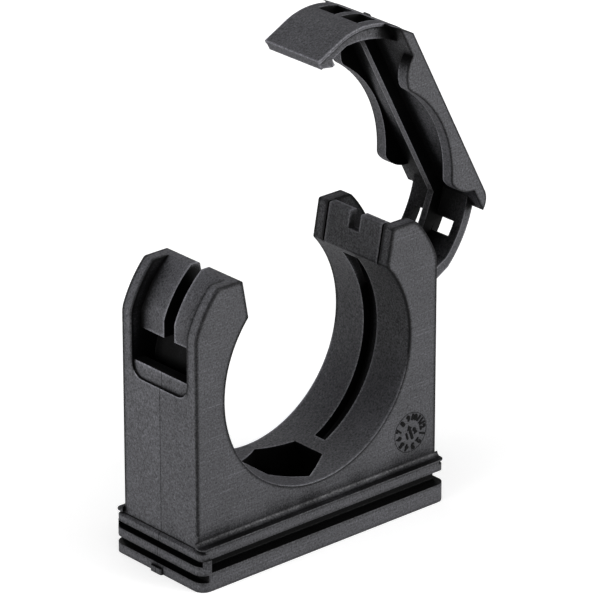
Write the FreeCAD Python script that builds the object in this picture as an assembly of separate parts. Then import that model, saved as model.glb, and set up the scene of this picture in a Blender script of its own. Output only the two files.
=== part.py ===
import FreeCAD
import Part
import math
import os

# Bore and overall sizes
hose_radius = 17.25
side_wall = 5.05
bore_floor = 9.65
body_depth = 15.7
half_length = hose_radius + side_wall
half_depth = body_depth / 2
bore_height = hose_radius + bore_floor

# Posts: the outer rims lean in and end in a flat top, the bore side has a lead-in
post_drop = 0.05
post_top = bore_height + hose_radius - post_drop
rim_run = 4.1
rim_drop = 6.6
rim_bulge = 0.42
rim_top_round = 0.8
rim_foot_round = 4.0
lead_in_angle = 41.7
lead_in_lean = 1.05
post_round = 0.35
rim_foot = (half_length, post_top - rim_drop)
rim_top = (half_length - rim_run, post_top)
lead_in_foot = (hose_radius * math.cos(math.radians(lead_in_angle)),
                bore_height + hose_radius * math.sin(math.radians(lead_in_angle)))
lead_in_top = (lead_in_foot[0] + lead_in_lean, post_top)

# Walls of the two posts
cheek = 2.0
plate = 1.2
plate_slit = (0.3, 0.5)
pocket_half = half_depth - cheek
lug_recess = 1.85
lug_height = 9.5
lug_foot = post_top - lug_height
lug_slot = 2.15
rib = 1.2
rib_drop = 1.25
rib_foot = post_top - rib_drop
rib_way = 2.2
rib_way_drop = 2.5
rib_way_foot = post_top - rib_way_drop

# Hook window below the lugs, with its recessed sill
window_height = 4.3
sill_height = 2.4
sill_recess = 0.35
sill_round = 2.1
sill_depth = 2.1
pit_depth = 4.0
window_floor = lug_foot - window_height
sill_foot = window_floor - sill_height

# Screw seat in the bore floor
screw_radius = 3.25
nut_flats = 10.2
nut_seat = 4.6

# Groove round the bore, which widens from its foot towards its top
groove_foot = (-1.05, 1.0)
groove_top = (-0.75, 2.75)
groove_depth = 1.5
groove_from = 25.0
groove_to = 128.0

# Base flange with its rail groove
plinth_side = 0.75
plinth_front = 1.7
plinth_top = 2.8
plinth_round = 1.6
band_side = 0.5
band_front = 1.4
rail = 1.95
band = 1.6
band_foot = plinth_top + rail
band_top = band_foot + band
band_round = 0.8
brow = 0.2
brow_front = 1.6
flare_rise = 0.65
rail_back = 0.4
rail_stop = 1.1
stop_height = 1.1
side_slot_depth = 0.6
side_slot_end = 1.3
low_slot_foot = 1.45
low_slot = 1.1
tongue_foot = 1.5
tongue_step = 0.5
side_band = 1.3
side_band_top = band_foot + side_band
side_band_chamfer = 0.35
gate_half = 1.2
gate_height = 0.9
gate_proud = 0.4
gate_round = 0.3

# Film hinge at the outer face of the right post
film = 0.55
film_play = 0.05
hinge_rise = 4.9
hinge_height = bore_height + hinge_rise
hinge_x = half_length - film / 2
bead = film / 2
open_angle = 62.6

# Lid, drawn shut and then turned open
roof_gap = 0.6
roof = 1.6
roof_foot = post_top + roof_gap
roof_top = roof_foot + roof
lid_wall = 1.9
snap_gap = 0.25
flap_half = pocket_half - snap_gap
lip_reach = 2.5
lip_foot = lug_foot - lip_reach
lip_bend_drop = 7.2
lip_bend_foot = post_top - lip_bend_drop
lip_bend_mid = (2.1, 1.35)
lip_bend_in = 6.2
lip_skin = 0.5
lip_step = 0.2
eave_left = (3.3, 0.05)
eave_left_mid = (4.6, 1.05)
tooth = 1.0
tooth_gap = 0.3
tooth_nose = 0.5
tooth_ramp = 1.4
strap = 1.3
strap_sink = 0.4
strap_rise = 3.1
strap_foot = hinge_height + strap_rise
strap_straight = 2.0
bend_right_in = 8.2
eave_right_mid = (6.15, 1.6)
eave_right = (5.35, 0.6)
arch_rise = 0.25
arch_half = 9.0
ear_mid = (11.55, 1.3)
ear_half = 13.05
ear_round = 1.6
strap_rib_top = (14.4, 1.3)
strap_rib_mid = (17.3, 4.6)
strap_rib_foot = (19.9, 8.0)

# Windows that lighten the lip bend and the strap
window_rail = 1.55
lip_window = (3.05, 0.0)
strap_window = (3.5, 1.6)


def at(x, z, y=0.0):
    return FreeCAD.Vector(x, y, z)


def arc(start, mid, end):
    return Part.Arc(at(*start), at(*mid), at(*end)).toShape()


def line(start, end):
    return Part.makeLine(at(*start), at(*end))


def wire(start, steps):
    """Closed outline in the front plane; a step is an end point, or an arc's middle and end."""
    edges = []
    here = start
    for step in steps:
        if isinstance(step[0], tuple):
            edges.append(arc(here, step[0], step[1]))
            here = step[1]
        else:
            edges.append(line(here, step))
            here = step
    edges.append(line(here, start))
    return Part.Wire(edges)


def prism(start, steps, half):
    """Outline in the front plane drawn out by half to either side of the middle."""
    face = Part.Face(wire(start, steps))
    face.translate(at(0, 0, -half))
    return face.extrude(at(0, 0, 2 * half))


def box(x, y, z):
    """Block between the pairs of limits along the three axes."""
    corner = at(x[0], z[0], y[0])
    return Part.makeBox(x[1] - x[0], y[1] - y[0], z[1] - z[0], corner)


def rod(x, z, radius, half):
    return Part.makeCylinder(radius, 2 * half, at(x, z, -half), at(0, 0, 1))


def round_edges(solid, points, radius):
    """Round the front-to-back edges that pass through the given points."""
    chosen = []
    for edge in solid.Edges:
        ends = [vertex.Point for vertex in edge.Vertexes]
        if len(ends) < 2 or abs(ends[0].x - ends[1].x) + abs(ends[0].z - ends[1].z) > 1e-6:
            continue
        for x, z in points:
            if math.hypot(ends[0].x - x, ends[0].z - z) < 0.01:
                chosen.append(edge)
                break
    return solid.makeFillet(radius, chosen)


def mirrored(solid):
    return solid.mirror(at(0, 0), at(0, 0, 1))


def rim_mid():
    """Middle of the rim's arc, the chord's middle pushed out by the bulge."""
    chord = math.hypot(rim_run, rim_drop)
    x = (rim_foot[0] + rim_top[0]) / 2 + rim_bulge * rim_drop / chord
    return x, (rim_foot[1] + rim_top[1]) / 2 + rim_bulge * rim_run / chord


def rim_circle():
    curve = arc(rim_foot, rim_mid(), rim_top).Curve
    return curve.Center.x, curve.Center.z, curve.Radius


def rim_point(inset, height):
    """Distance from the middle of the rim, set in by inset, at a height above the base."""
    centre_x, centre_z, radius = rim_circle()
    return centre_x + math.sqrt((radius - inset) ** 2 - (height - centre_z) ** 2)


def rim_meets_side(inset):
    """Height at which the inset rim arc meets the inset side face."""
    centre_x, centre_z, radius = rim_circle()
    return centre_z + math.sqrt((radius - inset) ** 2 - (half_length - inset - centre_x) ** 2)


def left(point):
    return -point[0], point[1]


def body_block():
    steps = [
        left(rim_foot),
        (left(rim_mid()), left(rim_top)),
        left(lead_in_top),
        left(lead_in_foot),
        ((0.0, bore_floor), lead_in_foot),
        lead_in_top,
        rim_top,
        (rim_mid(), rim_foot),
        (half_length, 0.0),
    ]
    block = prism((-half_length, 0.0), steps, half_depth)
    block = round_edges(block, [left(rim_top), rim_top], rim_top_round)
    block = round_edges(block, [left(rim_foot), rim_foot], rim_foot_round)
    ends = [left(lead_in_foot), lead_in_foot, left(lead_in_top), lead_in_top]
    return round_edges(block, ends, post_round)


# Left post: a pocket between the cheeks with two lugs over the hook window
def lug_outline():
    """The pocket seen from the front, everything outside the lugs' outer face."""
    side = half_length - lug_recess
    start = rim_meets_side(lug_recess)
    middle = (start + post_top) / 2
    beyond = half_length + lug_recess
    steps = [
        (-side, start),
        ((-rim_point(lug_recess, middle), middle), (-rim_point(lug_recess, post_top), post_top)),
        (-rim_point(lug_recess, post_top), post_top + lug_recess),
        (-beyond, post_top + lug_recess),
        (-beyond, lug_foot),
    ]
    return prism((-side, lug_foot), steps, pocket_half)


def post_wall():
    """Everything up to the outer side of the thin wall round the bore."""
    return rod(0.0, bore_height, hose_radius + plate, half_depth)


def hook_window():
    beyond = half_length + lug_recess
    back = lead_in_foot[0]
    opening = box((-beyond, -back), (-pocket_half, pocket_half), (window_floor, lug_foot))
    pit = box((-half_length + sill_depth, -back), (-pocket_half, pocket_half),
              (window_floor - pit_depth, window_floor))
    sill = box((-beyond, -half_length + sill_recess), (-pocket_half, pocket_half),
               (sill_foot, window_floor))
    corners = [edge for edge in sill.Edges
               if edge.BoundBox.ZLength + edge.BoundBox.YLength < 1e-6
               and edge.BoundBox.ZMin - sill_foot < 1e-6]
    sill = sill.makeFillet(sill_round, corners)
    return opening.fuse([pit, sill]).cut(post_wall())


def lug_slot_cut():
    """Slot between the lugs, open to the bore only above the rib's way."""
    half = lug_slot / 2
    low = lead_in_foot[0] + plate
    lean = lead_in_lean * (rib_way_foot - lead_in_foot[1]) / (post_top - lead_in_foot[1])
    slot = box((-half_length, -low), (-half, half), (lug_foot, lead_in_foot[1]))
    steps = [
        (-low, lead_in_foot[1]),
        (-low - lean, rib_way_foot),
        (-lead_in_foot[0], rib_way_foot),
        (-lead_in_foot[0], post_top + plate),
        (-half_length, post_top + plate),
    ]
    return slot.fuse(prism((-half_length, lead_in_foot[1]), steps, half)).cut(post_wall())


# Right post: a channel for the strap behind a thin plate
def strap_channel():
    """Space for the strap, stepped down outside the film so that the lid can lie back."""
    low = lead_in_foot[0] + plate
    step_foot = hinge_height - bead - film_play
    beyond = half_length + plate
    steps = [
        (low, lead_in_foot[1]),
        (lead_in_top[0] + plate, post_top),
        (lead_in_top[0] + plate, post_top + plate),
        (beyond, post_top + plate),
        (beyond, step_foot),
        (hinge_x, step_foot),
        (hinge_x, hinge_height),
    ]
    return prism((low, hinge_height), steps, pocket_half).cut(post_wall())


def rib_notch():
    reach = (lead_in_foot[0], lead_in_top[0] + 2 * plate)
    return box(reach, (-rib_way / 2, rib_way / 2), (rib_way_foot, post_top + plate))


def plate_slits():
    """Thin slit where the plate meets each cheek, on the bore side above the bore."""
    width, depth = plate_slit
    slits = []
    for edge in (pocket_half - width, -pocket_half):
        reach = (lead_in_foot[0] - depth, lead_in_top[0] + depth)
        slits.append(box(reach, (edge, edge + width), (lead_in_foot[1], post_top + plate)))
    return slits


def bore_groove():
    """Stretch of ring in the bore's wall between two sides that lean apart upwards."""
    outer = hose_radius + groove_depth
    ring = rod(0.0, bore_height, outer, half_depth)
    ring = ring.cut(rod(0.0, bore_height, hose_radius - groove_depth, body_depth))

    def ray(angle):
        turn = math.radians(angle)
        return (2 * outer * math.sin(turn), bore_height - 2 * outer * math.cos(turn))

    middle = (groove_from + groove_to) / 2
    steps = [ray(groove_from), ray(middle), ray(groove_to)]
    ring = ring.common(prism((0.0, bore_height), steps, half_depth))
    low = bore_height - outer
    corners = [at(0.0, low, groove_foot[0]), at(0.0, low, groove_foot[1]),
               at(0.0, post_top, groove_top[1]), at(0.0, post_top, groove_top[0])]
    sides = Part.Face(Part.makePolygon(corners + corners[:1]))
    return ring.common(sides.extrude(at(2 * outer, 0.0)))


def screw_seat():
    corner = nut_flats / math.sqrt(3)
    points = []
    for step in range(7):
        turn = math.radians(90 + 60 * step)
        points.append(FreeCAD.Vector(corner * math.cos(turn), corner * math.sin(turn), nut_seat))
    seat = Part.Face(Part.makePolygon(points)).extrude(FreeCAD.Vector(0, 0, bore_height - nut_seat))
    return seat.fuse(Part.makeCylinder(screw_radius, bore_height))


def slab(side, front, foot, top, radius):
    """Rounded plate round the foot that stands out by side and front."""
    plate_box = box((-half_length - side, half_length + side),
                    (-half_depth - front, half_depth + front), (foot, top))
    uprights = [edge for edge in plate_box.Edges if edge.BoundBox.ZLength > (top - foot) / 2]
    return plate_box.makeFillet(radius, uprights)


def flare():
    """Long moulding that leads from the front face out to the flange."""
    out = half_depth + brow_front
    brow_top = band_top + brow
    points = [
        FreeCAD.Vector(0, -half_depth, band_top),
        FreeCAD.Vector(0, -half_depth, brow_top + flare_rise),
        FreeCAD.Vector(0, -half_depth - flare_rise * (1 - math.sqrt(0.5)),
                       brow_top + flare_rise * (1 - math.sqrt(0.5))),
        FreeCAD.Vector(0, -half_depth - flare_rise, brow_top),
        FreeCAD.Vector(0, -out, brow_top),
        FreeCAD.Vector(0, -out, band_top),
    ]
    edges = [
        Part.makeLine(points[0], points[1]),
        Part.Arc(points[1], points[2], points[3]).toShape(),
        Part.makeLine(points[3], points[4]),
        Part.makeLine(points[4], points[5]),
        Part.makeLine(points[5], points[0]),
    ]
    face = Part.Face(Part.Wire(edges))
    reach = half_length + band_side
    face.translate(FreeCAD.Vector(-reach, 0, 0))
    strip = face.extrude(FreeCAD.Vector(2 * reach, 0, 0))
    outline = slab(band_side, brow_front, band_top, brow_top + flare_rise, band_round)
    return strip.common(outline)


def flange():
    plinth = slab(plinth_side, plinth_front, 0.0, plinth_top, plinth_round)
    side_band = slab(band_side, band_front, band_foot, side_band_top, band_round)
    side_band = side_band.makeChamfer(side_band_chamfer, [
        edge for edge in side_band.Edges
        if edge.BoundBox.YLength > half_depth and edge.BoundBox.ZMin > band_foot])
    long_band = slab(0.0, band_front, band_foot, band_top, band_round)
    stop = slab(plinth_side, plinth_front, plinth_top, band_foot, plinth_round)
    stop = stop.common(box((-half_length - plinth_side, -half_length + rail_stop),
                           (-body_depth, body_depth), (plinth_top, band_foot)))
    front_flare = flare()
    return plinth.fuse([side_band, long_band, stop, front_flare, mirrored(front_flare)])


def flange_cuts():
    """Rail grooves along both long sides, the slots at the left end, the step at the right."""
    far = half_depth + 2 * plinth_front
    rails = []
    for lower, upper in ((-far, rail_back - half_depth), (half_depth - rail_back, far)):
        rails.append(box((-half_length + rail_stop, half_length + 2 * plinth_side),
                         (lower, upper), (plinth_top, band_foot)))
    floor = -half_length + side_slot_depth
    outside = -half_length - 2 * plinth_side
    reach = half_depth + side_slot_end
    upper_slot = box((outside, floor), (-reach, reach), (plinth_top + stop_height, band_foot))
    lower_slot = box((outside, floor), (-far, far), (low_slot_foot, low_slot_foot + low_slot))
    step = box((half_length + plinth_side - tongue_step, half_length + 2 * plinth_side),
               (-far, far), (0.0, tongue_foot))
    return rails + [upper_slot, lower_slot, step]


def gate_stub():
    """Broken-off gate at the middle of the plinth's left side."""
    outside = -half_length - plinth_side
    stub = box((outside - gate_proud, outside + plinth_side), (-gate_half, gate_half),
               (0.0, gate_height))
    uprights = [edge for edge in stub.Edges
                if edge.BoundBox.ZLength > gate_height / 2 and edge.BoundBox.XMax < outside]
    return stub.makeFillet(gate_round, uprights)


def hinge_seat():
    return rod(hinge_x, hinge_height, bead + film_play, pocket_half)


def holder_body():
    cuts = [lug_outline(), hook_window(), lug_slot_cut(), strap_channel(), rib_notch()]
    cuts += [bore_groove(), screw_seat(), hinge_seat()]
    cuts += plate_slits() + flange_cuts()
    whole = body_block().fuse([flange(), gate_stub()]).cut(cuts).removeSplitter()
    # The mould parts along the middle of the depth, so the body is two halves with that seam
    reach = (-body_depth * 2, body_depth * 2)
    front = whole.common(box(reach, (-body_depth, 0.0), (0.0, post_top)))
    back = whole.common(box(reach, (0.0, body_depth), (0.0, post_top)))
    return front.fuse(back)


# Lid: roof with end walls, hooked lip at the left, strap and film at the right
def from_edge(offset, top):
    """Point given by its distance in from the side face and below the given height."""
    return half_length - offset[0], top - offset[1]


def roof_plate():
    tip_left = left(from_edge(eave_left, post_top))
    steps = [
        ((eave_left_mid[0] - half_length, post_top + eave_left_mid[1]), tip_left),
        (tip_left[0] + roof / 2, roof_foot),
        (half_length - bend_right_in - roof / 2, roof_foot),
        (half_length - eave_right[0], post_top + eave_right[1]),
        ((half_length - eave_right_mid[0], post_top + eave_right_mid[1]),
         (half_length - bend_right_in, roof_top)),
    ]
    return prism((lip_bend_in - half_length, roof_top), steps, half_depth)


def end_walls():
    """Front and back wall, with the upper part of the bore and a rounded ear at each end."""
    arch_height = bore_height + arch_rise
    foot = (arch_half, arch_height + math.sqrt(hose_radius ** 2 - arch_half ** 2))
    ears = (ear_half, roof_foot)
    round_mid = (ear_mid[0], post_top - ear_mid[1])
    buried = roof_foot + roof / 2
    steps = [
        (left(round_mid), left(foot)),
        ((0.0, arch_height + hose_radius), foot),
        (round_mid, ears),
        (ear_half, buried),
        (-ear_half, buried),
    ]
    whole = prism(left(ears), steps, half_depth)
    whole = round_edges(whole, [left(foot), foot], ear_round)
    inner = half_depth - lid_wall
    return whole.cut(box((-half_length, half_length), (-inner, inner), (0.0, roof_foot)))


def lip():
    inset = lug_recess - snap_gap
    inner = half_length - inset
    start = rim_meets_side(inset)
    middle = (start + roof_foot) / 2
    ledge = lug_foot - tooth_gap
    steps = [
        (-half_length, lip_bend_foot),
        (left(from_edge(lip_bend_mid, post_top)), (lip_bend_in - half_length, roof_top)),
        (-rim_point(inset, roof_foot), roof_foot),
        ((-rim_point(inset, middle), middle), (-inner, start)),
        (-inner, ledge),
        (-inner + tooth, ledge),
        (-inner + tooth, ledge - tooth_nose),
        (-inner, ledge - tooth_nose - tooth_ramp),
        (-inner, lip_foot),
    ]
    return prism((-half_length, lip_foot), steps, flap_half).cut(lip_rebate())


def lip_rebate():
    """Narrow step along both sides of the lip, so that its outer skin stands proud."""
    below = lip_foot - lip_skin
    sunk = left(from_edge(lip_bend_mid, post_top))
    steps = [
        (lip_skin - half_length, lip_bend_foot),
        ((sunk[0] + lip_skin * math.sqrt(0.5), sunk[1] - lip_skin * math.sqrt(0.5)),
         (lip_bend_in - half_length, roof_top - lip_skin)),
        (lip_bend_in - half_length, below),
    ]
    start = (lip_skin - half_length, below)
    return prism(start, steps, half_depth).cut(prism(start, steps, flap_half - lip_step))


def middle_rib():
    """Rib from the lip to the strap, straight under the roof and then down the strap."""
    lip_inner = -rim_point(lug_recess - snap_gap, rib_foot) - strap / 2
    buried = roof_foot + roof / 2
    foot = (strap_rib_foot[0], post_top - strap_rib_foot[1])
    steps = [
        (strap_rib_top[0], post_top - strap_rib_top[1]),
        (strap_rib_mid[0], post_top - strap_rib_mid[1]),
        foot,
        (foot[0] + strap, foot[1]),
        (half_length - eave_right[0] + strap / 2, post_top - strap),
        (half_length - bend_right_in, buried),
        (lip_inner, buried),
    ]
    return prism((lip_inner, rib_foot), steps, rib / 2)


def strap_leaf():
    """Strap that follows the right rim and thins down to the film."""
    inner = strap_sink + strap
    buried = roof_foot + roof / 2
    start = strap_foot + strap_straight
    middle = (start + roof_foot) / 2
    outer_top = rim_point(strap_sink, roof_foot)
    inner_top = rim_point(inner, roof_foot)
    steps = [
        ((rim_point(strap_sink, middle), middle), (rim_point(strap_sink, start), start)),
        (hinge_x + bead, hinge_height),
        (hinge_x - bead, hinge_height),
        (hinge_x - bead, hinge_height + film),
        (half_length - inner, strap_foot),
        (half_length - inner, rim_meets_side(inner)),
        ((rim_point(inner, middle), middle), (inner_top, roof_foot)),
        (inner_top, buried),
        (outer_top - roof / 2, buried),
    ]
    leaf = prism((outer_top, roof_foot), steps, flap_half)
    return leaf.fuse(rod(hinge_x, hinge_height, bead, flap_half))


def window_pair(start, steps):
    """The same opening on either side of the middle web."""
    whole = prism(start, steps, flap_half - window_rail)
    return whole.cut(prism(start, steps, rib / 2))


def windows():
    """Two openings in the lip's bend and two in the strap, cut square to each."""
    low = post_top - lip_window[0]
    high = post_top - lip_window[1]
    inset = lug_recess - snap_gap
    beyond = half_length + strap
    lip_pair = window_pair((-beyond, low), [
        (-beyond, high),
        (strap - rim_point(inset, high), high),
        (strap - rim_point(inset, low), low),
    ])
    low = post_top - strap_window[0]
    high = post_top - strap_window[1]
    foot = (rim_point(strap_sink, low), low)
    head = (rim_point(strap_sink, high), high)
    along = math.hypot(foot[0] - head[0], high - low)
    out_x = 2 * strap * (high - low) / along
    out_z = 2 * strap * (foot[0] - head[0]) / along
    strap_pair = window_pair((foot[0] + out_x, foot[1] + out_z), [
        (foot[0] - out_x, foot[1] - out_z),
        (head[0] - out_x, head[1] - out_z),
        (head[0] + out_x, head[1] + out_z),
    ])
    return [lip_pair, strap_pair]


def lid():
    flap = lip().fuse(strap_leaf()).cut(windows())
    shut = flap.fuse([roof_plate(), end_walls(), middle_rib()]).removeSplitter()
    opened = shut.copy()
    opened.rotate(at(hinge_x, hinge_height), at(0, 0, 1), open_angle)
    return opened


os.makedirs("parts", exist_ok=True)
pieces = {"holder_body": holder_body(), "lid": lid()}
for name, shape in pieces.items():
    if len(shape.Solids) == 1:
        shape = shape.Solids[0]
    shape.exportStep("parts/" + name + ".step")
    print(name, shape.ShapeType, "solids", len(shape.Solids), "valid", shape.isValid(),
          "volume", round(shape.Volume, 1))
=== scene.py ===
import math

import bpy
import numpy as np
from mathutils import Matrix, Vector


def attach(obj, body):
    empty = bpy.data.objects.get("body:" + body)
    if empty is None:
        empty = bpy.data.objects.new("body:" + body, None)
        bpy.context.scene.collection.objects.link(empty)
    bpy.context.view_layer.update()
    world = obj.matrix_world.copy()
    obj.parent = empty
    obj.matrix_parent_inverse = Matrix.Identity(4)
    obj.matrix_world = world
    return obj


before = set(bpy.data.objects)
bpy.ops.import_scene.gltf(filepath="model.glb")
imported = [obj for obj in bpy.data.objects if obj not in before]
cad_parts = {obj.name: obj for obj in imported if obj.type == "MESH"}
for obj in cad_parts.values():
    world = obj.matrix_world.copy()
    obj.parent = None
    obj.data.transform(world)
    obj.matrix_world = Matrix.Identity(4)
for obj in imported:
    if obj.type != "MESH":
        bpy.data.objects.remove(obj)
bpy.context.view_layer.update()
MM = 0.001

# Camera. It stands where the photograph was taken from: to the left of the
# front, above the clip, far away with a long lens, so uprights stay upright.
CAMERA_AZIMUTH = math.radians(-41.46)
CAMERA_HEIGHT = math.radians(23.40)
CAMERA_REACH = 681.2 * MM
CAMERA_AIM = Vector((3.45, 0.0, 33.75)) * MM
CAMERA_LENS = 291.8
CAMERA_SENSOR = 36.0
CAMERA_CLIP = (0.01, 20.0)

camera_back = Vector((
    math.sin(CAMERA_AZIMUTH) * math.cos(CAMERA_HEIGHT),
    -math.cos(CAMERA_AZIMUTH) * math.cos(CAMERA_HEIGHT),
    math.sin(CAMERA_HEIGHT),
))
camera = bpy.data.objects.new("camera", bpy.data.cameras.new("camera"))
bpy.context.scene.collection.objects.link(camera)
camera.data.lens = CAMERA_LENS
camera.data.sensor_width = CAMERA_SENSOR
camera.data.clip_start, camera.data.clip_end = CAMERA_CLIP
camera.location = CAMERA_AIM + camera_back * CAMERA_REACH
camera.rotation_euler = (-camera_back).to_track_quat("-Z", "Y").to_euler()
bpy.context.scene.camera = camera


# Holder body and lid. Both are injection moulded polyamide, filled black. The
# mould is spark eroded, which gives the eye an even, dull, finely mottled
# charcoal face with a slight satin sheen and soft edges. Their colour also
# holds painted highlights and painted shade along the edges, and painted shade
# in the recesses, on the bore wall and on the lead-in face.
def linear(hex_colour):
    """The linear colour of an sRGB hex value."""
    srgb = np.array([int(hex_colour[i:i + 2], 16) for i in (1, 3, 5)]) / 255.0
    low = srgb / 12.92
    high = ((srgb + 0.055) / 1.055) ** 2.4
    return (*np.where(srgb <= 0.04045, low, high), 1.0)


def add(tree, kind, *inputs, **settings):
    """Adds one node. Its inputs are given in order or by name, each as a value, a socket
    or a node whose first output is linked; every other setting is a property of the node."""
    node = tree.nodes.new("ShaderNode" + kind)
    given = list(enumerate(inputs))
    for name, value in settings.items():
        if hasattr(node, name):
            setattr(node, name, value)
        else:
            given.append((name.replace("_", " "), value))
    for name, value in given:
        source = value.outputs[0] if isinstance(value, bpy.types.Node) else value
        if isinstance(source, bpy.types.NodeSocket):
            tree.links.new(source, node.inputs[name])
        elif source is not None:
            node.inputs[name].default_value = source
    return node


# Spark erosion at this grade leaves craters about 0.1 mm wide. They are drawn
# three times as wide, and pale mould marks twice as wide, so that they show.
FACE_COLOUR = "#48484C"
GRAIN_SIZE = 0.28 * MM
MARK_SIZE = 0.8 * MM
CLOUD_SIZE = 7.0 * MM
SCRATCH_LENGTH = 7.0 * MM
SCRATCH_WIDTH = SCRATCH_LENGTH / 45
SCRATCH_TURNS = (0.85, -0.60)
SCRATCH_TILT = 0.35
EDGE_RADIUS = 0.18 * MM
RECESS_REACH = 11.0 * MM

# Places and widths on the body and the lid, in the part's own frame.
PLINTH_TOP = 8.0 * MM
SEAM_HALF = 0.16 * MM
SIDE_FACE_X = 21.9 * MM
BORE_RADIUS = 17.25 * MM
BORE_HEIGHT = 26.9 * MM
BORE_SKIN = 0.15 * MM
BORE_MIDDLE = 1.0 * MM
LEAD_IN_FOOT = 38.3 * MM
EAR_PLACE = (30.0 * MM, -7.85 * MM, 49.5 * MM)

# Ramps. Each holds two values of its source and then what it gives at each of them.
GRAIN_RAMP = (0.30, 0.70, 0.45, 1.55)
GLINT_RAMP = (0.64, 0.72, 1.0, 1.30)
MARK_RAMP = (0.30, 0.70, 0.90, 1.10)
CLOUD_RAMP = (0.30, 0.70, 0.92, 1.08)
SCRATCH_RAMP = (0.62, 0.68, 1.0, 1.40)
RIM_RAMP = (0.4 * MM, 0.7 * MM, 1.0, 0.0)
FACING_UP_RAMP = (0.15, 0.35, 0.0, 1.0)
DARKEST_RAMP = (PLINTH_TOP, PLINTH_TOP + EDGE_RADIUS, 0.62, 0.22)
EDGE_HIGHLIGHT_RAMP = (0.82, 0.58, 1.0, 2.8)
STREAK_PLACE_RAMP = (0.96, 0.80, 0.0, 1.0)
STREAK_RAMP = (0.42, 0.58, 0.50, 1.02)
SEAM_RAMP = (0.0, 1.0, 1.0, 0.22)
HALVES_RAMP = (-SEAM_HALF, SEAM_HALF, 0.95, 1.06)
BORE_SHADE_RAMP = (10.0 * MM, 36.0 * MM, 1.00, 0.35)
LEAD_IN_SHADE_RAMP = (-0.90, -0.60, 0.55, 1.0)
EAR_RAMP = (2.0 * MM, 5.0 * MM, 1.0, 0.0)
DUST_RAMP = (0.46, 0.60, 1.0, 1.2)
ROUGHNESS_RAMP = (0.6, 1.4, 0.56, 0.42)
SHEEN_RAMP = (0.15, 0.70, 0.14, 0.50)
EDGE_SHADE_SPAN = (0.94, 0.72)
RECESS_END = 0.98
RECESS_DARKEST = 0.02
BORE_FAR_SHADE = 1.05

POLYAMIDE_IOR = 1.53
BUMP_STRENGTH = 0.4
BUMP_DEPTH = 0.02 * MM


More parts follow.
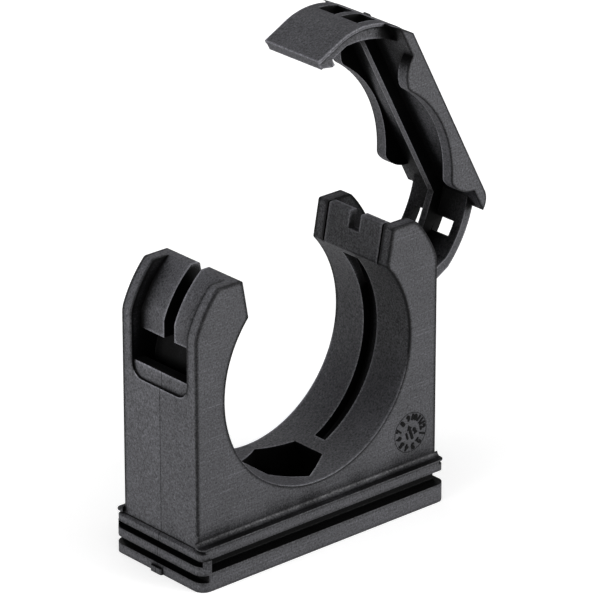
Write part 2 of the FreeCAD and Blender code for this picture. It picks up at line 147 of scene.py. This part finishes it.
def moulded_polyamide(name, recess, edge_reach, pale_half, seam_and_bore_shade):
    """Spark eroded polyamide: mottled grain, cloudy sheen, hair scratches, painted highlights
    and painted shade on the edges, and painted shade in the recesses and, on the body, on the
    bore.
    Every effect is a factor of the face colour, and the factors are multiplied at the end."""
    material = bpy.data.materials.new(name)
    material.use_nodes = True
    tree = material.node_tree
    tree.nodes.clear()
    place = add(tree, "TexCoord").outputs["Object"]
    axes = add(tree, "SeparateXYZ", place)
    x, y, z = axes.outputs

    # Grain, with a glint on its tops, pale mould marks and a cloudy sheen.
    grain = add(tree, "TexNoise", Vector=place, Scale=1 / GRAIN_SIZE, Detail=2.0, Roughness=0.6)
    marks = add(tree, "TexNoise", Vector=place, Scale=1 / MARK_SIZE, Detail=3.0, Roughness=0.7)
    cloud = add(tree, "TexNoise", Vector=place, Scale=1 / CLOUD_SIZE, Detail=3.0, Roughness=0.5)
    mottle = add(tree, "Math", add(tree, "MapRange", grain, *GRAIN_RAMP),
                 add(tree, "MapRange", marks, *MARK_RAMP), operation="MULTIPLY")
    mottle = add(tree, "Math", mottle, add(tree, "MapRange", grain, *GLINT_RAMP),
                 operation="MULTIPLY")
    factors = [mottle, add(tree, "MapRange", cloud, *CLOUD_RAMP)]

    # Hair scratches: noise that is stretched along a slant, once for each turn.
    for turn in SCRATCH_TURNS:
        slant = add(tree, "Mapping", place, Rotation=(0.0, turn, SCRATCH_TILT * turn),
                    Scale=(1 / SCRATCH_LENGTH, 1 / SCRATCH_WIDTH, 1 / SCRATCH_WIDTH))
        hair = add(tree, "TexNoise", Vector=slant, Scale=1.0, Detail=1.0)
        factors.append(add(tree, "MapRange", hair, *SCRATCH_RAMP))

    # Edge lines: painted shade along the outer faces and the plinth, and painted
    # highlights further in and on the bore's upward rim.
    soft = add(tree, "Bevel", EDGE_RADIUS, samples=6)
    facing = add(tree, "SeparateXYZ", soft)
    inner = add(tree, "AmbientOcclusion", Distance=edge_reach, samples=12, inside=True,
                only_local=True).outputs["AO"]
    across = add(tree, "Math", y, operation="ABSOLUTE")
    arm = add(tree, "VectorMath", place, (1.0, 0.0, 1.0), (0.0, 0.0, -BORE_HEIGHT),
              operation="MULTIPLY_ADD")
    from_axis = add(tree, "VectorMath", arm, operation="LENGTH").outputs["Value"]
    beyond = add(tree, "Math", from_axis, BORE_RADIUS, operation="SUBTRACT")
    gap = add(tree, "Math", beyond, operation="ABSOLUTE")
    bore_rim = add(tree, "Math", add(tree, "MapRange", gap, *RIM_RAMP),
                   add(tree, "MapRange", facing.outputs["Z"], *FACING_UP_RAMP),
                   operation="MULTIPLY")
    upper = add(tree, "MapRange", z, PLINTH_TOP, PLINTH_TOP + EDGE_RADIUS, 0.0, 1.0)
    middle = add(tree, "MapRange", across, pale_half, pale_half + EDGE_RADIUS, upper, 0.0)
    painted_highlight_mask = add(tree, "Math", middle, bore_rim, operation="MAXIMUM")
    darkest = add(tree, "MapRange", z, *DARKEST_RAMP)
    painted_edge_shade = add(tree, "MapRange", inner, *EDGE_SHADE_SPAN, 1.0, darkest)
    painted_edge_highlight = add(tree, "MapRange", inner, *EDGE_HIGHLIGHT_RAMP)
    factors.append(add(tree, "Mix", painted_highlight_mask, None, painted_edge_shade, painted_edge_highlight))

    # Recesses: painted shade, darker and duller towards the inside, and streaky.
    outer = add(tree, "AmbientOcclusion", Distance=RECESS_REACH, samples=16,
                only_local=True).outputs["AO"]
    factors.append(add(tree, "MapRange", outer, recess, RECESS_END, RECESS_DARKEST, 1.0))
    factors.append(add(tree, "Mix", add(tree, "MapRange", outer, *STREAK_PLACE_RAMP), None, 1.0,
                       add(tree, "MapRange", cloud, *STREAK_RAMP)))

    if seam_and_bore_shade:
        # The mould's parting line down the side faces, between two halves that
        # differ a little.
        out = add(tree, "Math", x, operation="ABSOLUTE")
        side = add(tree, "Math", out, SIDE_FACE_X, operation="GREATER_THAN")
        line = add(tree, "Math", add(tree, "MapRange", across, 0.0, SEAM_HALF, 1.0, 0.0), side,
                   operation="MULTIPLY")
        factors.append(add(tree, "MapRange", line, *SEAM_RAMP))
        halves = add(tree, "MapRange", y, *HALVES_RAMP)
        factors.append(add(tree, "Mix", side, None, 1.0, halves))

        # Painted shade on the bore wall, darker and duller towards its top on the near
        # side and a little lighter on the far side, and on the lead-in face above it on
        # the hinge side, where that face turns to the left.
        painted_bore_shade = add(tree, "MapRange", z, *BORE_SHADE_RAMP)
        walls = add(tree, "MapRange", y, -BORE_MIDDLE, BORE_MIDDLE, painted_bore_shade, BORE_FAR_SHADE)
        factors.append(add(tree, "MapRange", gap, BORE_SKIN, BORE_SKIN * 2, walls, 1.0))
        painted_lead_in_shade = add(tree, "MapRange", facing.outputs["X"], *LEAD_IN_SHADE_RAMP)
        above = add(tree, "MapRange", z, LEAD_IN_FOOT, LEAD_IN_FOOT + BORE_SKIN, 1.0, painted_lead_in_shade)
        factors.append(add(tree, "MapRange", x, 0.0, BORE_SKIN, 1.0, above))
    else:
        # Pale dust of wear at the lid's near ear.
        ear = add(tree, "VectorMath", place, EAR_PLACE, operation="DISTANCE").outputs["Value"]
        factors.append(add(tree, "Mix", add(tree, "MapRange", ear, *EAR_RAMP), None, 1.0,
                           add(tree, "MapRange", grain, *DUST_RAMP)))

    shade = factors[0]
    for factor in factors[1:]:
        shade = add(tree, "Math", shade, factor, operation="MULTIPLY")
    colour = add(tree, "VectorMath", linear(FACE_COLOUR)[:3], Scale=shade, operation="SCALE")
    bump = add(tree, "Bump", Height=mottle, Normal=soft, Strength=BUMP_STRENGTH,
               Distance=BUMP_DEPTH)
    skin = add(tree, "BsdfPrincipled", Base_Color=colour, Normal=bump, IOR=POLYAMIDE_IOR,
               Roughness=add(tree, "MapRange", mottle, *ROUGHNESS_RAMP),
               Specular_IOR_Level=add(tree, "MapRange", shade, *SHEEN_RAMP))
    add(tree, "OutputMaterial", skin)
    return material


body_plastic = moulded_polyamide("moulded_polyamide_body", recess=0.58, edge_reach=0.70 * MM,
                                 pale_half=5.4 * MM, seam_and_bore_shade=True)
lid_plastic = moulded_polyamide("moulded_polyamide_lid", recess=0.78, edge_reach=0.45 * MM,
                                pale_half=7.0 * MM, seam_and_bore_shade=False)
for node_name, plastic in (("holder_body", body_plastic), ("lid", lid_plastic)):
    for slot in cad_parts[node_name].material_slots:
        slot.material = plastic


# Date dial. The mould holds a small steel insert with the twelve months round
# an arrow. It leaves smooth raised figures of the same plastic on the front
# face, low on the right; their near-black colour is painted shade.

# Lengths here are in millimetres and turns in degrees.
MONTHS = 12
DIAL_PLACE = (17.52, 11.73)
DIAL_FACE = -7.85
DIAL_RADIUS = 2.32
DIAL_START = 79.0
DIAL_STEP = 360.0 / MONTHS
FIGURE_HEIGHT = 1.05
FIGURE_WIDTH = (0.66, 1.12)
FIGURE_RISE = 0.10
FIGURE_WEIGHT = 0.065
FIGURE_ROOT = 0.01
FONT_DEPTH = 0.1
FONT_STEPS = 2
ARROW_TURN = -19.7
YEAR_PLACE = (0.80, -0.18)
ARROW_OUTLINE = ((-0.20, -1.20), (0.20, -1.20), (0.20, 0.55), (0.46, 0.55), (0.0, 1.25),
                 (-0.46, 0.55), (-0.20, 0.55))
RIM_RADIUS = 3.02
RIM_HALF = 0.05
RIM_RISE = 0.03
RIM_STEPS = 96
# The figures' near-black colour is painted shade.
FIGURE_SHADE_COLOUR = "#060607"
SMOOTH_RAMP = (0.30, 0.70, 0.6, 1.4)
SMOOTH_ROUGHNESS = 0.5
SMOOTH_SHEEN = 0.15


def on_dial(across, up, out, turn, reach):
    """Points of a figure that is moved up by a reach and then turned clockwise by an angle."""
    angle = math.radians(turn)
    up = up + reach
    x = DIAL_PLACE[0] + across * math.cos(angle) + up * math.sin(angle)
    z = DIAL_PLACE[1] - across * math.sin(angle) + up * math.cos(angle)
    return np.column_stack((x, DIAL_FACE - out, z))


def figure(text, turn, reach, aside=0.0):
    """A number as a solid plate, drawn to the dial's height, turned and moved on to the dial."""
    curve = bpy.data.curves.new("figure_" + text, "FONT")
    curve.body = text
    curve.align_x = "CENTER"
    curve.offset = FIGURE_WEIGHT
    curve.extrude = FONT_DEPTH
    curve.resolution_u = FONT_STEPS
    holder = bpy.data.objects.new("figure_" + text, curve)
    mesh = bpy.data.meshes.new_from_object(holder)
    points = np.empty(len(mesh.vertices) * 3)
    mesh.vertices.foreach_get("co", points)
    points = points.reshape(-1, 3)
    faces = [tuple(polygon.vertices) for polygon in mesh.polygons]
    bpy.data.objects.remove(holder)
    bpy.data.curves.remove(curve)
    bpy.data.meshes.remove(mesh)
    low, high = points.min(axis=0), points.max(axis=0)
    middle = (low + high) / 2
    tall = FIGURE_HEIGHT / (high[1] - low[1])
    wide = min(tall, FIGURE_WIDTH[len(text) - 1] / (high[0] - low[0]))
    out = np.where(points[:, 2] > middle[2], FIGURE_RISE, -FIGURE_ROOT)
    return on_dial(aside + (points[:, 0] - middle[0]) * wide,
                   (points[:, 1] - middle[1]) * tall, out, turn, reach), faces


def plate(outline, turn):
    """An outline as a solid plate: once at the root, once at the top, and a wall between."""
    flat = np.array(outline)
    count = len(flat)
    both = np.vstack((flat, flat))
    out = np.repeat((-FIGURE_ROOT, FIGURE_RISE), count)
    walls = [(i, (i + 1) % count, (i + 1) % count + count, i + count) for i in range(count)]
    ends = [tuple(range(count))[::-1], tuple(range(count, 2 * count))]
    return on_dial(both[:, 0], both[:, 1], out, turn, 0.0), walls + ends


def dial_rim():
    """A ring of four-cornered section: four circles of points, each joined to the next."""
    angle = np.linspace(0.0, 2 * np.pi, RIM_STEPS, endpoint=False)
    inside, outside = RIM_RADIUS - RIM_HALF, RIM_RADIUS + RIM_HALF
    rows = ((inside, -FIGURE_ROOT), (outside, -FIGURE_ROOT), (outside, RIM_RISE),
            (inside, RIM_RISE))
    points = np.vstack([on_dial(radius * np.sin(angle), radius * np.cos(angle),
                                np.full(RIM_STEPS, out), 0.0, 0.0) for radius, out in rows])
    step = np.arange(RIM_STEPS)
    after = (step + 1) % RIM_STEPS
    faces = []
    for row in range(len(rows)):
        this, following = row * RIM_STEPS, (row + 1) % len(rows) * RIM_STEPS
        faces.append(np.column_stack((this + step, following + step, following + after,
                                      this + after)))
    return points, np.vstack(faces).tolist()


def body_piece(name, shapes, material):
    """One mesh of several shapes in millimetres, on the holder body."""
    points, faces, first = [], [], 0
    for shape_points, shape_faces in shapes:
        points.append(shape_points * MM)
        faces += [tuple(first + corner for corner in face) for face in shape_faces]
        first += len(shape_points)
    mesh = bpy.data.meshes.new(name)
    mesh.from_pydata(np.vstack(points).tolist(), [], faces)
    mesh.materials.append(material)
    piece = bpy.data.objects.new(name, mesh)
    bpy.context.scene.collection.objects.link(piece)
    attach(piece, "body")


# The figures' material; its near-black colour is painted shade.
smooth_painted_shade_plastic = bpy.data.materials.new("smooth_polyamide_painted_shade")
smooth_painted_shade_plastic.use_nodes = True
smooth_tree = smooth_painted_shade_plastic.node_tree
smooth_tree.nodes.clear()
smooth_place = add(smooth_tree, "TexCoord").outputs["Object"]
smooth_cloud = add(smooth_tree, "TexNoise", Vector=smooth_place, Scale=1 / MARK_SIZE, Detail=2.0)
smooth_shade = add(smooth_tree, "MapRange", smooth_cloud, *SMOOTH_RAMP)
figure_shade_colour = add(smooth_tree, "VectorMath", linear(FIGURE_SHADE_COLOUR)[:3], Scale=smooth_shade,
                    operation="SCALE")
smooth_skin = add(smooth_tree, "BsdfPrincipled", Base_Color=figure_shade_colour, IOR=POLYAMIDE_IOR,
                  Roughness=SMOOTH_ROUGHNESS, Specular_IOR_Level=SMOOTH_SHEEN)
add(smooth_tree, "OutputMaterial", smooth_skin)

months = [figure(str(month), DIAL_START + DIAL_STEP * month, DIAL_RADIUS)
          for month in range(1, MONTHS + 1)]
year = [figure(digit, ARROW_TURN, YEAR_PLACE[1], side * YEAR_PLACE[0])
        for digit, side in (("1", -1.0), ("2", 1.0))]
body_piece("date_dial_figures", months + year + [plate(ARROW_OUTLINE, ARROW_TURN)],
           smooth_painted_shade_plastic)
body_piece("date_dial_rim", [dial_rim()], body_plastic)


# Floor and room. A plain white paper floor and a white room; none of this is
# part of the clip. What the camera sees of the paper is evened out with the
# distance from the clip, so that only the clip's shadow stays on it.
FLOOR_HALF = 4000.0 * MM
PAPER_COLOUR = "#D9D9D9"
PAPER_GLOW = 0.07
PAPER_SEEN = (0.45, 1.0)
PAPER_REACH = 450.0 * MM
PAPER_MIRRORED = 0.42
ROOM_LIGHT = 0.01
ROOM_SEEN = 1.0
ROOM_MIRRORED = 0.02

floor_mesh = bpy.data.meshes.new("floor")
floor_corners = np.array([(-1, -1, 0), (1, -1, 0), (1, 1, 0), (-1, 1, 0)]) * FLOOR_HALF
floor_mesh.from_pydata(floor_corners.tolist(), [], [(0, 1, 2, 3)])
floor = bpy.data.objects.new("floor", floor_mesh)
bpy.context.scene.collection.objects.link(floor)

white_paper = bpy.data.materials.new("white_paper")
white_paper.use_nodes = True
paper_tree = white_paper.node_tree
paper_tree.nodes.clear()
white = linear("#FFFFFF")
paper = add(paper_tree, "BsdfDiffuse", linear(PAPER_COLOUR))
glow = add(paper_tree, "Emission", white, PAPER_GLOW)
lit_paper = add(paper_tree, "AddShader", paper, glow)
paper_place = add(paper_tree, "TexCoord").outputs["Object"]
paper_reach = add(paper_tree, "VectorMath", paper_place, operation="LENGTH").outputs["Value"]
paper_evened = add(paper_tree, "MapRange", paper_reach, 0.0, PAPER_REACH, *PAPER_SEEN)
paper_seen = add(paper_tree, "Emission", white, paper_evened)
bright_paper = add(paper_tree, "AddShader", lit_paper, paper_seen)
paper_mirrored = add(paper_tree, "Emission", white, PAPER_MIRRORED)
paper_ray = add(paper_tree, "LightPath").outputs
paper_gloss = add(paper_tree, "MixShader", paper_ray["Is Glossy Ray"], lit_paper,
                  paper_mirrored)
paper_mix = add(paper_tree, "MixShader", paper_ray["Is Camera Ray"], paper_gloss, bright_paper)
add(paper_tree, "OutputMaterial", paper_mix)
floor_mesh.materials.append(white_paper)

world = bpy.data.worlds.new("studio")
world.use_nodes = True
bpy.context.scene.world = world
world_tree = world.node_tree
world_tree.nodes.clear()
room = add(world_tree, "Background", white, ROOM_LIGHT)
room_seen = add(world_tree, "Background", white, ROOM_SEEN)
room_mirrored = add(world_tree, "Background", white, ROOM_MIRRORED)
room_ray = add(world_tree, "LightPath").outputs
room_gloss = add(world_tree, "MixShader", room_ray["Is Glossy Ray"], room, room_mirrored)
room_mix = add(world_tree, "MixShader", room_ray["Is Camera Ray"], room_gloss, room_seen)
add(world_tree, "OutputWorld", room_mix)


# Lamps. Soft square boxes: a main one from the right, a small one near the left
# side, one overhead, and a weak one behind that keeps the back from going black.
def softbox(name, azimuth, height, reach, size, watts):
    """A square lamp that looks at the clip. Angles are in degrees, reach and size in metres."""
    lamp = bpy.data.lights.new(name, "AREA")
    lamp.shape = "SQUARE"
    lamp.size = size
    lamp.energy = watts
    holder = bpy.data.objects.new(name, lamp)
    turn, lift = math.radians(azimuth), math.radians(height)
    back = Vector((math.sin(turn) * math.cos(lift), -math.cos(turn) * math.cos(lift),
                   math.sin(lift)))
    holder.location = CAMERA_AIM + back * reach
    holder.rotation_euler = (-back).to_track_quat("-Z", "Y").to_euler()
    bpy.context.scene.collection.objects.link(holder)


softbox("right_lamp", azimuth=35.0, height=10.0, reach=0.80, size=0.50, watts=4.9)
softbox("left_lamp", azimuth=-90.0, height=6.0, reach=0.20, size=0.15, watts=0.29)
softbox("top_lamp", azimuth=0.0, height=80.0, reach=0.80, size=0.60, watts=3.5)
softbox("back_lamp", azimuth=165.0, height=8.0, reach=0.80, size=0.50, watts=2.0)

bpy.context.scene.view_settings.view_transform = "Standard"
